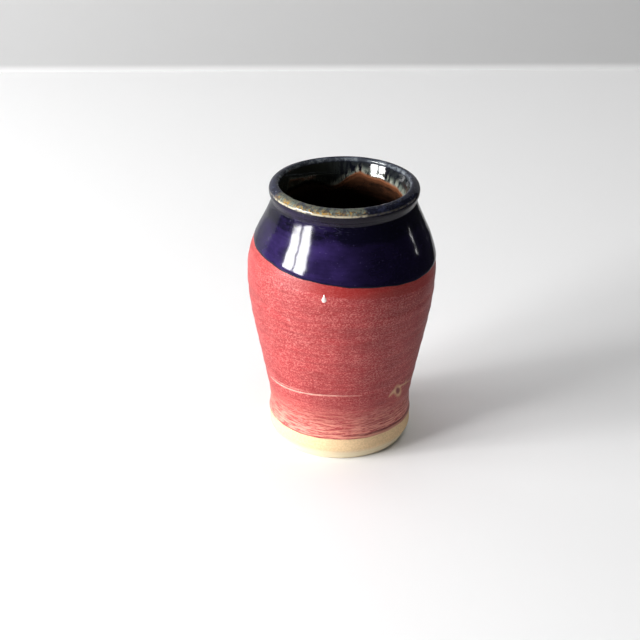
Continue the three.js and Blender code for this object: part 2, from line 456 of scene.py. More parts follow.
def turned_mesh(name, rows, closed, sharp=()):
    """A mesh from rows of points round the axis, shaped (rows, columns, 3) in millimetres. Each
    cell between two rows and two columns is a quad. The rows close on themselves, or else the
    first and last rows are capped by fans round a point on the axis. The edges along the sharp
    rows are marked sharp. Every face is smooth."""
    count, columns = rows.shape[:2]
    vertices = rows.reshape(-1, 3) / METRE
    across = np.arange(columns)
    beside = (across + 1) % columns
    lower = np.arange(count if closed else count - 1)
    upper = (lower + 1) % count
    quads = np.stack([
        lower[:, None] * columns + across,
        lower[:, None] * columns + beside,
        upper[:, None] * columns + beside,
        upper[:, None] * columns + across,
    ], axis=-1).reshape(-1, 4)
    faces = quads.tolist()
    if not closed:
        first, last = len(vertices), len(vertices) + 1
        poles = rows[[0, -1]].mean(axis=1) / METRE
        vertices = np.concatenate([vertices, poles])
        top = (count - 1) * columns
        faces += np.stack([np.full(columns, first), beside, across], axis=-1).tolist()
        faces += np.stack([top + across, top + beside, np.full(columns, last)], axis=-1).tolist()
    mesh = bpy.data.meshes.new(name)
    mesh.from_pydata(vertices.tolist(), [], faces)
    mesh.update(calc_edges=True)
    mesh.polygons.foreach_set("use_smooth", np.ones(len(mesh.polygons), bool))
    ends = np.zeros(len(mesh.edges) * 2, int)
    mesh.edges.foreach_get("vertices", ends)
    rows_of = ends.reshape(-1, 2) // columns
    along = rows_of[:, 0] == rows_of[:, 1]
    creased = along & np.isin(rows_of[:, 0], [row % count for row in sharp])
    mesh.edges.foreach_set("use_edge_sharp", creased)
    mesh.update()
    return mesh


def paint(mesh, name, values):
    """Stores one number for each vertex as an attribute that a material can read. Vertices at
    the poles take the last one."""
    flat = np.zeros(len(mesh.vertices), np.float32)
    values = np.asarray(values, np.float32).ravel()
    flat[:len(values)] = values
    flat[len(values):] = values[-1]
    mesh.attributes.new(name, "FLOAT", "POINT").data.foreach_set("value", flat)


def place(name, mesh, material, node):
    """Puts a finished mesh in the scene in place of a CAD node, riding on the root body."""
    mesh.materials.append(material)
    piece = bpy.data.objects.new(name, mesh)
    bpy.context.scene.collection.objects.link(piece)
    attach(piece, "root")
    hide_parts(node)
    return piece


# ---- Marks that the glazing and the kiln left ----------------------------------------------------

SINK = -0.05  # millimetres from the clay to a coat's back, so that no gap shows between them

# Bearings of the sides on which the glazes differ, and of the sides that are painted lit or shaded,
# in degrees
HIGH_DIP = 175  # where the cobalt's lower edge is highest
LIT_THIN_COBALT = 238
DEEP_ROSE = 325
HEMMED_ROSE = 335
LIT_THROAT = 48
SHADED_THROAT = 165
WARM_LIP = ((200, 212), (285, 289))  # where the lip's warm side starts and ends

# Places of the single marks: bearings and leans in degrees, heights in millimetres
THROAT_LINE = 116.8
SCRATCH_LINE = 33.35
SCAR_BEARING = 322
SCAR_HEIGHT = 31.7
SCAR_LEAN = -54
DRIP_BEARING = 259.6
DRIP_HEIGHT = 88.6


def around(turn, bearing):
    """Degrees from a bearing, between -180 and 180."""
    return (turn - bearing + 180) % 360 - 180


def rounded(distance, width):
    """0 at an edge, 1 beyond width: the quarter circle sqrt(1 - (1 - d / width)^2)."""
    share = np.clip(distance / width, 0, 1)
    return np.sqrt(1 - (1 - share) ** 2)


def foot_line(shape, turn):
    """Height of the rose coat's lower edge: nearly level, with small waves."""
    return shape.glaze_line * METRE + wave(turn, (0.10, 2, 20), (0.08, 7, 80), (0.05, 19, 0))


def dip_line(glaze, turn):
    """Height of the cobalt's lower edge: a tilted ring with small waves."""
    tilt = glaze.dip_swing * METRE * np.cos(np.radians(turn - HIGH_DIP))
    waves = wave(turn, (0.20, 4, 60), (0.12, 9, 150), (0.08, 23, 10))
    return glaze.dip_height * METRE + tilt + waves


def throat_line(turn):
    """Height of the lip glaze's lower edge inside: level with small scallops, a broad swell with
    a peak on it, and one run of glaze, each a bell round its bearing."""
    swell = 1.3 * np.exp(-((around(turn, 66) / 30) ** 2))
    peak = 1.4 * np.exp(-((around(turn, 74) / 8) ** 2))
    run = 4.8 * np.exp(-((around(turn, 102) / 13) ** 2))
    scallops = wave(turn, (0.20, 9, 0), (0.25, 14, 50), (0.12, 31, 200))
    return THROAT_LINE + swell + peak - run + scallops


def facing(turn, bearing, low, high):
    """1 round a bearing and 0 away from it, smoothly as the cosine falls from high to low."""
    return smooth(np.cos(np.radians(turn - bearing)), low, high)


def lit_side(turn):
    """1 on the side of the throat that the window lights, where the liner's thin edge is painted
    amber and the streaks paler, as painted light; 0 on the opposite side.
    """
    return facing(turn, LIT_THROAT, 0.40, 0.65)


def groove(z, turn):
    """Depth share of the line scratched round the hip: the sum of two bells across a wandering
    height, fading at the ends of its two runs."""
    line = SCRATCH_LINE - 0.0062 * (turn - 268) + 2.8 * np.exp(-((around(turn, 272) / 38) ** 2))
    first = smooth(turn, 198, 210) * (1 - smooth(turn, 250, 298))
    second = 0.45 * smooth(turn, 318, 326) * (1 - smooth(turn, 344, 352))
    uneven = 0.86 + wave(turn, (0.12, 23, 0), (0.12, 41, 70))
    twin = 0.5 * smooth(turn, 200, 212) * (1 - smooth(turn, 232, 256))
    main_line = np.exp(-(((z - line) / 0.40) ** 2))
    twin_line = np.exp(-(((z - line - 1.3) / 0.26) ** 2))
    return uneven * ((first + second) * main_line + twin * twin_line)


def leaning(x, y, lean):
    """The point (x, y) measured along and across an axis that leans by an angle: x cos + y sin,
    and y cos - x sin."""
    c = math.cos(math.radians(lean))
    d = math.sin(math.radians(lean))
    return x * c + y * d, y * c - x * d


def bell(x, y, centre, half, lean):
    """exp(-q^2), where q is the distance from the centre along and across an axis that leans, in
    units of half the bell's width and height."""
    along, across = leaning(x - centre[0], y - centre[1], lean)
    return np.exp(-((along / half[0]) ** 2 + (across / half[1]) ** 2))


SCAR_BELLS = (  # strength, centre, half width and height, lean: a blob, its point, a nub, a tail
    (1.0, (-4.3, 32.3), (1.5, 1.15), 35),
    (0.8, (-5.7, 31.1), (0.8, 0.5), 50),
    (1.0, (5.15, 34.0), (0.45, 1.3), 0),
    (0.85, (1.0, 33.8), (1.2, 0.5), 0),
    (0.85, (3.3, 33.4), (1.7, 0.45), -14),
    (0.85, (6.4, 32.8), (1.9, 0.40), -9),
    (0.85, (10.4, 31.6), (2.6, 0.35), -23),
)


def scar(z, turn, radius):
    """Two masks of the torn ring low on the rose coat: its bare edge and its dark middle. The
    edge is a narrow bell round a leaning ellipse, with more bells beside it; x is the arc from
    its bearing, in millimetres."""
    x = np.radians(around(turn, SCAR_BEARING)) * radius
    along, across = leaning(x + 0.4, z - SCAR_HEIGHT, SCAR_LEAN)
    reach = np.hypot(along / 3.6, across / 1.75)
    uneven = 0.8 + 0.2 * np.cos(3 * np.arctan2(across, along))
    edge = uneven * np.exp(-(((reach - 1) / 0.36) ** 2))
    for strength, centre, half, lean in SCAR_BELLS:
        edge = edge + strength * bell(x, z, centre, half, lean)
    middle = 1 - smooth(reach, 0.55, 0.95)
    return np.clip(edge, 0, 1), middle


def drip(z, turn, radius):
    """A teardrop of glaze that stopped under the dip line: a bell that narrows upwards."""
    x = np.radians(around(turn, DRIP_BEARING)) * radius
    y = z - DRIP_HEIGHT
    half = 0.95 - 0.6 * smooth(y, -0.8, 2.2)
    return np.exp(-((x / half) ** 2 + (y / np.where(y > 0, 2.0, 1.2)) ** 2) ** 1.6)


# ---- Pieces --------------------------------------------------------------------------------------

POLE_GAP = 0.6  # millimetres along the outline from a pole to the first row round it
BACK_STEP = 4  # rows of a coat's face for each row of its back


def up_rows(values, s):
    """One value for each column, repeated in every row."""
    return np.broadcast_to(values, s.shape)


def clay_mesh(outline, shape):
    """The fired clay: the whole outline turned, with poles under the foot and on the floor."""
    s = np.concatenate([
        np.arange(POLE_GAP, outline.s[outline.band], 0.35),
        np.arange(outline.s[outline.band], outline.s[-1] - POLE_GAP, 0.8),
    ])[:, None]
    rows = surface(outline, shape, s, turn_steps(), 0.0)
    return turned_mesh("clay body", rows, closed=False)


def shell_rows(outline, shape, s, turn, lift):
    """Rows of a closed coat: its face at the given lift, then its back, sunk in the clay, in the
    other direction with fewer rows."""
    back = np.concatenate([s[:1], s[BACK_STEP:-BACK_STEP:BACK_STEP], s[-1:]])[::-1]
    face = surface(outline, shape, s, turn, lift)
    return np.concatenate([face, surface(outline, shape, back, turn, SINK)])


def rose_mesh(outline, shape, glaze):
    """The rose coat: from the foot line up to a little above the dip line, with a rounded lower
    edge and a slight bead above it, the groove and the scar pressed in and the drip raised."""
    turn = turn_steps()
    low = outline.outside_at(foot_line(shape, turn))
    dip = outline.outside_at(dip_line(glaze, turn))
    high = dip + glaze.overlap * METRE
    share = spread(float((high - low).mean()), fine=((17.0, 26.5), (74.5, 81.5)))
    s = low + share * (high - low)
    z = np.interp(s, outline.s, outline.z)
    radius = np.interp(s, outline.s, outline.r)
    from_low = s - low
    edge, middle = scar(z, turn, radius)
    scratch = groove(z, turn)
    bead = drip(z, turn, radius)
    coat = glaze.coat * METRE
    lift = coat * rounded(from_low, 0.5) * rounded(high - s, 0.4)
    lift = lift + 0.10 * np.exp(-(((from_low - 1.1) / 0.7) ** 2))
    lift = lift - 0.22 * scratch - 0.15 * edge - 0.08 * middle + 0.42 * bead
    rows = shell_rows(outline, shape, s, turn, lift)
    mesh = turned_mesh("rose glaze", rows, closed=True)
    paint(mesh, "above_foot", from_low)
    paint(mesh, "below_dip", dip - s)
    paint(mesh, "scratch", scratch)
    paint(mesh, "torn_edge", edge)
    paint(mesh, "torn_middle", middle)
    paint(mesh, "drip", bead)
    paint(mesh, "deep_side", up_rows(0.4 + 0.6 * facing(turn, DEEP_ROSE, 0.0, 0.85), s))
    paint(mesh, "hem_side", up_rows(facing(turn, HEMMED_ROSE, 0.35, 0.9), s))
    return mesh


def cobalt_mesh(outline, shape, glaze):
    """The cobalt coat: from the dip line, where its rounded edge lies on the rose coat, up over
    the shoulder and the crease to the lip's outer edge."""
    turn = turn_steps()
    low = outline.outside_at(dip_line(glaze, turn))
    high = np.full(turn.shape, outline.outside_at((shape.crest_height - LIP_EDGE) * METRE))
    share = spread(float((high - low).mean()))
    s = low + share * (high - low)
    from_low = s - low
    coat = glaze.coat * METRE
    lift = 0.6 * coat + (0.75 * coat + 0.08) * rounded(from_low, 1.7)
    lift = lift - (0.35 * coat - 0.06) * smooth(from_low, 1.5, 7)
    z = np.interp(s, outline.s, outline.z)
    rows = shell_rows(outline, shape, s, turn, lift)
    mesh = turned_mesh("cobalt glaze", rows, closed=True, sharp=(len(s) - 1, len(s)))
    paint(mesh, "above_dip", from_low)
    paint(mesh, "from_crease", z - shape.neck_height * METRE)
    paint(mesh, "left_side", up_rows(np.exp(-((around(turn, LIT_THIN_COBALT) / 40) ** 2)), s))
    return mesh


def lip_mesh(outline, shape, glaze):
    """The lip's coat: from the cobalt, flush at the lip's outer edge, over the crest and down to
    the throat line inside, where it ends in a soft bead over the liner."""
    turn = turn_steps()
    low = np.full(turn.shape, outline.outside_at((shape.crest_height - LIP_EDGE) * METRE))
    high = outline.inside_at(throat_line(turn))
    share = spread(float((high - low).mean()), step=0.45)
    s = low + share * (high - low)
    coat = glaze.coat * METRE
    lift = coat + 0.15 + 0.15 * np.exp(-(((high - s - 1.2) / 1.0) ** 2))
    lift = 0.6 * coat + (lift - 0.6 * coat) * rounded(high - s, 0.9)
    rows = shell_rows(outline, shape, s, turn, lift)
    mesh = turned_mesh("lip glaze", rows, closed=True, sharp=(0, len(rows) - 1))
    starts, ends = WARM_LIP
    warm = smooth(turn, *starts) * (1 - smooth(turn, *ends))
    paint(mesh, "past_crest", s - outline.s[outline.crest])
    paint(mesh, "past_edge", s - low)
    paint(mesh, "above_throat", high - s)
    paint(mesh, "warm_side", up_rows(warm, s))
    paint(mesh, "right_side", up_rows(lit_side(turn), s))
    paint(mesh, "shade_side", up_rows(facing(turn, SHADED_THROAT, 0.1, 0.7), s))
    return mesh


def back_and_face(values):
    """The liner's back, which has fewer rows, and then its face."""
    return np.concatenate([values[::BACK_STEP][::-1], values[1:]])


def liner_mesh(outline, shape, glaze):
    """The brown liner: from a millimetre behind the lip coat's lower edge down the wall to a pole
    in the middle of the floor, and back along the clay."""
    turn = turn_steps()
    start = outline.inside_at(throat_line(turn)) - 1.0
    end = np.full(turn.shape, outline.s[-1] - POLE_GAP)
    share = spread(float((end - start).mean()), step=0.9)
    s = start + share * (end - start)
    lift = 0.85 * glaze.coat * METRE * rounded(s - start, 0.5)
    face = surface(outline, shape, s, turn, lift)
    back = surface(outline, shape, s[::BACK_STEP][::-1], turn, SINK)
    rows = np.concatenate([back, face[1:]])
    mesh = turned_mesh("liner glaze", rows, closed=False)
    paint(mesh, "right_side", back_and_face(up_rows(lit_side(turn), s)))
    paint(mesh, "below_line", back_and_face(s - start))
    return mesh


# ---- Node trees ----------------------------------------------------------------------------------

class Pen:
    """Adds nodes to one tree. A value is a number, a colour or another node's output."""

    def __init__(self, tree):
        self.tree = tree

    def node(self, kind, values=None, **settings):
        """A new node with its settings and its inputs' values."""
        made = self.tree.nodes.new(kind)
        for name, value in settings.items():
            setattr(made, name, value)
        for name, value in (values or {}).items():
            socket = made.inputs[name]
            if isinstance(value, bpy.types.NodeSocket):
                self.tree.links.new(value, socket)
            elif socket.type == "RGBA":
                socket.default_value = (*tuple(value)[:3], 1.0)
            else:
                socket.default_value = value
        return made

    def math(self, operation, first, second=0.0, clamp=False):
        """The result of one sum."""
        values = {0: first, 1: second}
        return self.node("ShaderNodeMath", values, operation=operation, use_clamp=clamp).outputs[0]

    def times(self, first, second):
        """The product of two numbers."""
        return self.math("MULTIPLY", first, second)

    def rise(self, value, low, high, start=0.0, end=1.0):
        """From start at low to end at high, smoothly."""
        values = {"Value": value, "From Min": low, "From Max": high, "To Min": start, "To Max": end}
        return self.node("ShaderNodeMapRange", values, interpolation_type="SMOOTHSTEP").outputs[0]

    def mix(self, share, first, second):
        """From the first colour at share 0 to the second at share 1."""
        made = self.node("ShaderNodeMix", {0: share, 6: first, 7: second}, data_type="RGBA")
        return made.outputs[2]

    def cover(self, tone, mask, share, colour):
        """The tone, with a share of a colour laid over it where the mask is 1."""
        return self.mix(self.times(mask, share), tone, colour)

    def painted(self, name):
        """A number painted on the mesh."""
        return self.node("ShaderNodeAttribute", attribute_name=name).outputs["Fac"]

    def use(self, group, **values):
        """A node group's first output."""
        made = self.node("ShaderNodeGroup", node_tree=group)
        for name, value in values.items():
            socket = made.inputs[name.replace("_", " ").capitalize()]
            if isinstance(value, bpy.types.NodeSocket):
                self.tree.links.new(value, socket)
            else:
                socket.default_value = value
        return made.outputs[0]

    def flecks(self, spot, size, share, softness, flatness=1.0, curl=0.0):
        """A mask of flecks of a size in millimetres that cover a share of the surface."""
        return self.use(group("Vase Flecks"), place=spot, size=size, flatness=flatness,
                        share=share, softness=softness, curl=curl)

    def wheel_lines(self, spot, spacing):
        """A mask of the level lines that fingers leave, a spacing in millimetres apart."""
        return self.use(group("Vase Wheel Lines"), place=spot, spacing=spacing)

    def ripple(self, spot, swell, peel):
        """The height of a glaze's skin, from the sizes of its swells and its orange peel."""
        return self.use(group("Vase Ripple"), place=spot, swell=swell, peel=peel)


def new_group(name, inputs, output, output_type="NodeSocketFloat"):
    """A shader node group with its sockets. Returns its pen, its input node and its output node."""
    tree = bpy.data.node_groups.new(name, "ShaderNodeTree")
    for label, kind, default in inputs:
        socket = tree.interface.new_socket(name=label, in_out="INPUT", socket_type=kind)
        if default is not None:
            socket.default_value = default
    tree.interface.new_socket(name=output, in_out="OUTPUT", socket_type=output_type)
    pen = Pen(tree)
    return pen, pen.node("NodeGroupInput"), pen.node("NodeGroupOutput")


def group(name):
    """A node group, built the first time that a material asks for it."""
    makers = {"Vase Place": place_group, "Vase Flecks": flecks_group, "Vase Ripple": ripple_group,
              "Vase Wheel Lines": wheel_group}
    return bpy.data.node_groups.get(name) or makers[name]()


def place_group():
    """The object's coordinates in millimetres."""
    pen, entry, end = new_group(
        "Vase Place", [("Metres", "NodeSocketVector", None)], "Place", "NodeSocketVector"
    )
    scaled = pen.node("ShaderNodeVectorMath", {0: entry.outputs["Metres"]}, operation="SCALE")
    scaled.inputs["Scale"].default_value = METRE
    pen.tree.links.new(scaled.outputs[0], end.inputs[0])
    return pen.tree


def flecks_group():
    """A mask of flecks: noise of one size, squeezed along Z by the flatness and curled by the
    curl, cut where it passes 1 - share. Flatness below 1 gives streaks that run down."""
    pen, entry, end = new_group("Vase Flecks", [
        ("Place", "NodeSocketVector", None), ("Size", "NodeSocketFloat", 1.0),
        ("Flatness", "NodeSocketFloat", 1.0), ("Share", "NodeSocketFloat", 0.4),
        ("Softness", "NodeSocketFloat", 0.08), ("Curl", "NodeSocketFloat", 0.0),
    ], "Mask")
    ask = entry.outputs
    across = pen.math("DIVIDE", 1.0, ask["Size"])
    along = pen.times(across, ask["Flatness"])
    stretch = pen.node("ShaderNodeCombineXYZ", {0: across, 1: across, 2: along})
    squeezed = pen.node(
        "ShaderNodeVectorMath", {0: ask["Place"], 1: stretch.outputs[0]}, operation="MULTIPLY"
    )
    noise = pen.node("ShaderNodeTexNoise", {
        "Vector": squeezed.outputs[0], "Scale": 1.0, "Detail": 3.0, "Roughness": 0.62,
        "Distortion": ask["Curl"],
    })
    middle = pen.rise(ask["Share"], 0.0, 1.0, 0.75, 0.25)
    low = pen.math("SUBTRACT", middle, ask["Softness"])
    high = pen.math("ADD", middle, ask["Softness"])
    pen.tree.links.new(pen.rise(noise.outputs[0], low, high), end.inputs[0])
    return pen.tree


def wheel_group():
    """A mask of the thin level lines that fingers leave on the wheel: noise drawn out round the
    vase, with one line's height as its size along Z."""
    pen, entry, end = new_group("Vase Wheel Lines", [
        ("Place", "NodeSocketVector", None), ("Spacing", "NodeSocketFloat", 1.0),
    ], "Mask")
    thin = pen.math("DIVIDE", 1.0, entry.outputs["Spacing"])
    stretch = pen.node("ShaderNodeCombineXYZ", {0: 0.035, 1: 0.035, 2: thin})
    squeezed = pen.node(
        "ShaderNodeVectorMath", {0: entry.outputs["Place"], 1: stretch.outputs[0]},
        operation="MULTIPLY",
    )
    noise = pen.node(
        "ShaderNodeTexNoise", {"Vector": squeezed.outputs[0], "Scale": 1.0, "Detail": 3.0}
    )
    pen.tree.links.new(pen.rise(noise.outputs[0], 0.3, 0.7), end.inputs[0])
    return pen.tree


def ripple_group():
    """The height of a fired glaze's skin in millimetres: slow swells and a fine orange peel."""
    pen, entry, end = new_group("Vase Ripple", [
        ("Place", "NodeSocketVector", None), ("Swell", "NodeSocketFloat", 0.02),
        ("Peel", "NodeSocketFloat", 0.004),
    ], "Height")
    slow = pen.node(
        "ShaderNodeTexNoise", {"Vector": entry.outputs["Place"], "Scale": 0.16, "Detail": 1.0}
    )
    fine = pen.node(
        "ShaderNodeTexNoise", {"Vector": entry.outputs["Place"], "Scale": 0.9, "Detail": 2.0}
    )
    swell = pen.times(slow.outputs[0], entry.outputs["Swell"])
    peel = pen.times(fine.outputs[0], entry.outputs["Peel"])
    pen.tree.links.new(pen.math("ADD", swell, peel), end.inputs[0])
    return pen.tree


def new_material(name):
    """A material with a Principled shader. Returns it, its pen, the shader and the place."""
    material = bpy.data.materials.new(name)
    material.use_nodes = True
    material.node_tree.nodes.clear()
    pen = Pen(material.node_tree)
    shader = pen.node("ShaderNodeBsdfPrincipled")
    end = pen.node("ShaderNodeOutputMaterial")
    pen.tree.links.new(shader.outputs[0], end.inputs["Surface"])
    where = pen.node("ShaderNodeTexCoord").outputs["Object"]
    return material, pen, shader, pen.use(group("Vase Place"), metres=where)


def dent(pen, shader, height):
    """Bends the shader's normals by a height in millimetres."""
    bump = pen.node("ShaderNodeBump", {"Height": height, "Distance": 1 / METRE, "Strength": 1.0})
    pen.tree.links.new(bump.outputs[0], shader.inputs["Normal"])


def join(pen, shader, name, value):
    """Feeds one of the shader's inputs."""
    pen.tree.links.new(value, shader.inputs[name])


def clay_material(glaze):
    """Bare buff clay: fine grain, level trimming lines and a few dark specks, and paler on the
    chamfer."""
    material, pen, shader, spot = new_material("bare buff clay")
    grain = pen.flecks(spot, 0.9, 0.5, 0.2)
    lines = pen.wheel_lines(spot, 0.9)
    specks = pen.flecks(spot, 0.7, 0.12, 0.03)
    base = Vector(glaze.clay)
    tone = pen.mix(grain, base * 0.86, base * 1.06)
    height = pen.node("ShaderNodeSeparateXYZ", {0: spot}).outputs[2]
    tone = pen.mix(pen.rise(height, 6.5, 3.0), tone, glaze.foot_clay)
    tone = pen.cover(tone, lines, 0.35, base * 0.78)
    tone = pen.cover(tone, specks, 0.5, base * 0.45)
    join(pen, shader, "Base Color", tone)
    shader.inputs["Roughness"].default_value = 0.85
    shader.inputs["Specular IOR Level"].default_value = 0.25
    dent(pen, shader, pen.times(pen.math("ADD", grain, lines), 0.03))
    return material


def rose_material(glaze):
    """Rose glaze: a deep ground full of pale curled flecks, drawn out level low on the wall, deeper
    and oranger under the dip line, and streaked and thin just above the foot, with a dark line of
    painted shade along its hem on the shaded side, the pale scratched line, the torn ring and the
    drip, whose pale colour is a painted highlight."""
    material, pen, shader, spot = new_material("rose glaze")
    above = pen.painted("above_foot")
    below = pen.painted("below_dip")
    ground = Vector(glaze.rose)
    cloud = pen.flecks(spot, 14.0, 0.5, 0.25)
    tone = pen.mix(cloud, ground * 0.86, ground * 1.12)
    lines = pen.wheel_lines(spot, 1.1)
    tone = pen.cover(tone, lines, 0.45, ground * 0.62)
    squiggle = pen.flecks(spot, 0.78, 0.46, 0.08, flatness=1.6, curl=0.7)
    drawn = pen.flecks(spot, 1.4, 0.46, 0.09, flatness=4.2, curl=0.3)
    low_wall = pen.rise(above, 24.0, 8.0)
    fleck = pen.mix(low_wall, squiggle, drawn)
    deep = pen.times(pen.rise(below, 5.3, 4.2), pen.painted("deep_side"))
    patch = pen.flecks(spot, 9.0, 0.62, 0.18)
    strength = pen.times(pen.rise(patch, 0.0, 1.0, 0.28, 0.50), fleck)
    strength = pen.times(strength, pen.rise(lines, 0.0, 1.0, 1.15, 0.70))
    strength = pen.times(strength, pen.rise(deep, 0.0, 1.0, 1.0, 0.75))
    tone = pen.mix(strength, tone, glaze.rose_fleck)
    scored = pen.flecks(spot, 14.0, 0.26, 0.05, flatness=22.0)
    tone = pen.cover(tone, scored, 0.75, ground * 0.6)
    brushed = pen.flecks(spot, 10.0, 0.17, 0.04, flatness=18.0)
    tone = pen.cover(tone, brushed, 0.45, glaze.rose_fleck)
    tone = pen.cover(tone, deep, 0.55, glaze.rose_deep)
    streak = pen.flecks(spot, 6.0, 0.5, 0.12, flatness=11.0)
    thin = pen.times(streak, pen.rise(above, 20.0, 1.0, 0.0, 0.90))
    tone = pen.mix(thin, tone, glaze.rose_thin)
    strip = pen.times(pen.rise(above, 1.6, 1.1), pen.painted("hem_side"))
    tone = pen.cover(tone, strip, 0.7, glaze.hem)
    # Painted shade: a dark line under the glaze's rolled hem, on the shaded side.
    line = pen.times(pen.rise(above, 2.7, 2.1), pen.rise(above, 1.2, 1.7))
    line = pen.times(line, pen.painted("hem_side"))
    tone = pen.cover(tone, line, 0.75, ground * 0.22)
    worn = pen.times(pen.painted("scratch"), pen.rise(drawn, 0.0, 1.0, 0.6, 1.0))
    tone = pen.mix(worn, tone, glaze.scratch)
    tone = pen.mix(pen.painted("torn_middle"), tone, ground * 0.55)
    tone = pen.mix(pen.painted("torn_edge"), tone, glaze.scar)
    # Painted highlight: the drip bead is painted pale.
    tone = pen.mix(pen.rise(pen.painted("drip"), 0.05, 0.35), tone, glaze.drip)
    join(pen, shader, "Base Color", tone)
    rough = pen.rise(pen.painted("torn_edge"), 0.0, 1.0, 0.40, 0.7)
    rough = pen.math("SUBTRACT", rough, pen.rise(pen.painted("drip"), 0.05, 0.3, 0.0, 0.35))
    join(pen, shader, "Roughness", rough)
    shader.inputs["Specular IOR Level"].default_value = 0.5
    dent(pen, shader, pen.math("ADD", pen.ripple(spot, 0.10, 0.012), pen.times(fleck, 0.010)))
    return material


def cobalt_material(glaze):
    """Cobalt glaze: nearly black violet-blue, lighter and more mottled on the side that the window
    lights, partly thin glaze and partly painted light, darker at its lower edge and towards the
    crease, with fine pale specks and level lines, and pale broken streaks by the crease on that side."""
    material, pen, shader, spot = new_material("cobalt glaze")
    crease = pen.painted("from_crease")
    left = pen.painted("left_side")
    cloud = pen.flecks(spot, 12.0, 0.5, 0.4, flatness=1.6)
    lines = pen.wheel_lines(spot, 1.3)
    cloud = pen.math("ADD", pen.times(cloud, 0.6), pen.times(lines, 0.10))
    # Painted light, with the glaze's cloud: lighter on the side that the window lights.
    thin = pen.times(cloud, pen.rise(left, 0.0, 1.0, 0.16, 0.95))
    thin = pen.times(thin, pen.rise(pen.painted("above_dip"), 0.3, 1.4, 0.1, 1.0))
    thin = pen.math("SUBTRACT", thin, pen.rise(crease, -9.0, -4.0, 0.0, 0.26), clamp=True)
    tone = pen.mix(thin, glaze.cobalt, glaze.thin_and_lit_cobalt)
    specks = pen.flecks(spot, 0.8, 0.2, 0.05)
    tone = pen.cover(tone, specks, 0.35, glaze.cobalt_speck)
    tone = pen.cover(tone, pen.rise(crease, -0.5, 1.0), 0.3, glaze.cobalt_flank)
    crawl = pen.flecks(spot, 3.0, 0.36, 0.06, flatness=3.5, curl=0.8)
    near = pen.times(pen.rise(crease, -4.5, -1.0), pen.rise(crease, 3.0, 0.5))
    broken = pen.times(pen.times(crawl, near), left)
    tone = pen.cover(tone, broken, 0.12, glaze.cobalt_crawl)
    join(pen, shader, "Base Color", tone)
    shader.inputs["Roughness"].default_value = 0.11
    shader.inputs["Specular IOR Level"].default_value = 0.35
    dent(pen, shader, pen.ripple(spot, 0.08, 0.004))
    return material


def lip_material(glaze):
    """Lip glaze: slate with pale specks on the rim and a painted highlight along the crest, broken to
    honey, cream and pale blue on one side and along the outer edge, where the cream line is partly a
    painted highlight; inside it runs down in dark, blue-grey and cream streaks that turn amber at
    their ends, with painted light on the side that the window lights and painted shade on the other."""
    material, pen, shader, spot = new_material("lip glaze")
    past = pen.painted("past_crest")
    warm = pen.painted("warm_side")
    right = pen.painted("right_side")
    mottle = pen.flecks(spot, 3.0, 0.45, 0.12, curl=0.8)
    tone = pen.mix(mottle, glaze.slate, Vector(glaze.slate) * 3.0)
    specks = pen.flecks(spot, 1.0, 0.27, 0.05)
    tone = pen.cover(tone, specks, 0.7, glaze.slate_speck)
    # Painted highlight along the crest's inner edge.
    crest_highlight = pen.times(pen.rise(past, -0.2, 0.5), pen.rise(past, 1.8, 0.9))
    tone = pen.cover(tone, crest_highlight, pen.rise(mottle, 0.0, 1.0, 0.2, 0.8), glaze.crest_highlight)
    honey = pen.flecks(spot, 3.4, 0.58, 0.08, curl=1.0)
    pale = pen.flecks(spot, 2.2, 0.50, 0.06, curl=1.5)
    broken = pen.mix(pale, glaze.honey, glaze.sky)
    rim = pen.times(pen.rise(past, -4.2, -3.0), pen.rise(past, 3.0, 1.0))
    edge = pen.painted("past_edge")
    broken = pen.mix(pen.rise(edge, 3.4, 1.0, 0.10, 1.0), glaze.moss, broken)
    freckle = pen.flecks(spot, 1.3, 0.42, 0.06, curl=1.0)
    broken = pen.cover(broken, freckle, 0.8, glaze.soot)
    warmth = pen.times(pen.times(warm, rim), pen.rise(honey, 0.0, 1.0, 0.35, 1.0))
    tone = pen.mix(warmth, tone, broken)
    worn = pen.flecks(spot, 2.0, 0.55, 0.1)
    # Partly painted highlight: the cream line along the lip's outer edge, mostly on the warm side.
    line = pen.times(pen.rise(edge, 0.0, 0.35), pen.rise(edge, 1.1, 0.6))
    line = pen.times(line, pen.rise(worn, 0.0, 1.0, 0.15, 0.7))
    line = pen.times(line, pen.rise(warm, 0.0, 1.0, 0.2, 1.0))
    tone = pen.mix(line, tone, glaze.cream)
    run = pen.flecks(spot, 2.4, 0.5, 0.1, flatness=0.22)
    bright = pen.flecks(spot, 1.5, 0.44, 0.08, flatness=0.25)
    near = pen.rise(pen.painted("above_throat"), 5.5, 1.5)
    dark = Vector(glaze.slate) * 0.35
    inner = pen.cover(dark, run, pen.rise(near, 0.0, 1.0, 0.06, 0.8), glaze.sky)
    # Painted light: the pale fringe shows only on the side of the throat that the window lights.
    fringe = pen.times(bright, pen.times(near, right))
    inner = pen.cover(inner, fringe, 0.5, glaze.fringe)
    # Painted shade: the inside of the lip is darker on the side of the throat away from the window.
    shade = pen.painted("shade_side")
    inner = pen.cover(inner, shade, 0.9, glaze.shade)
    tone = pen.mix(pen.rise(past, 0.8, 2.2), tone, inner)
    ends = pen.rise(pen.painted("above_throat"), 2.0, 0.5)
    # Painted light: the glaze's ends are amber and brighter on the side of the throat that the window
    # lights.
    brown = pen.mix(right, glaze.umber, Vector(glaze.amber) * 1.4)
    # Painted shade: the glaze's ends are darker on the side of the throat away from the window.
    brown = pen.mix(shade, brown, glaze.shaded_ends)
    tone = pen.mix(ends, tone, brown)
    join(pen, shader, "Base Color", tone)
    shader.inputs["Roughness"].default_value = 0.07
    shader.inputs["Specular IOR Level"].default_value = 0.4
    dent(pen, shader, pen.ripple(spot, 0.08, 0.02))
    return material


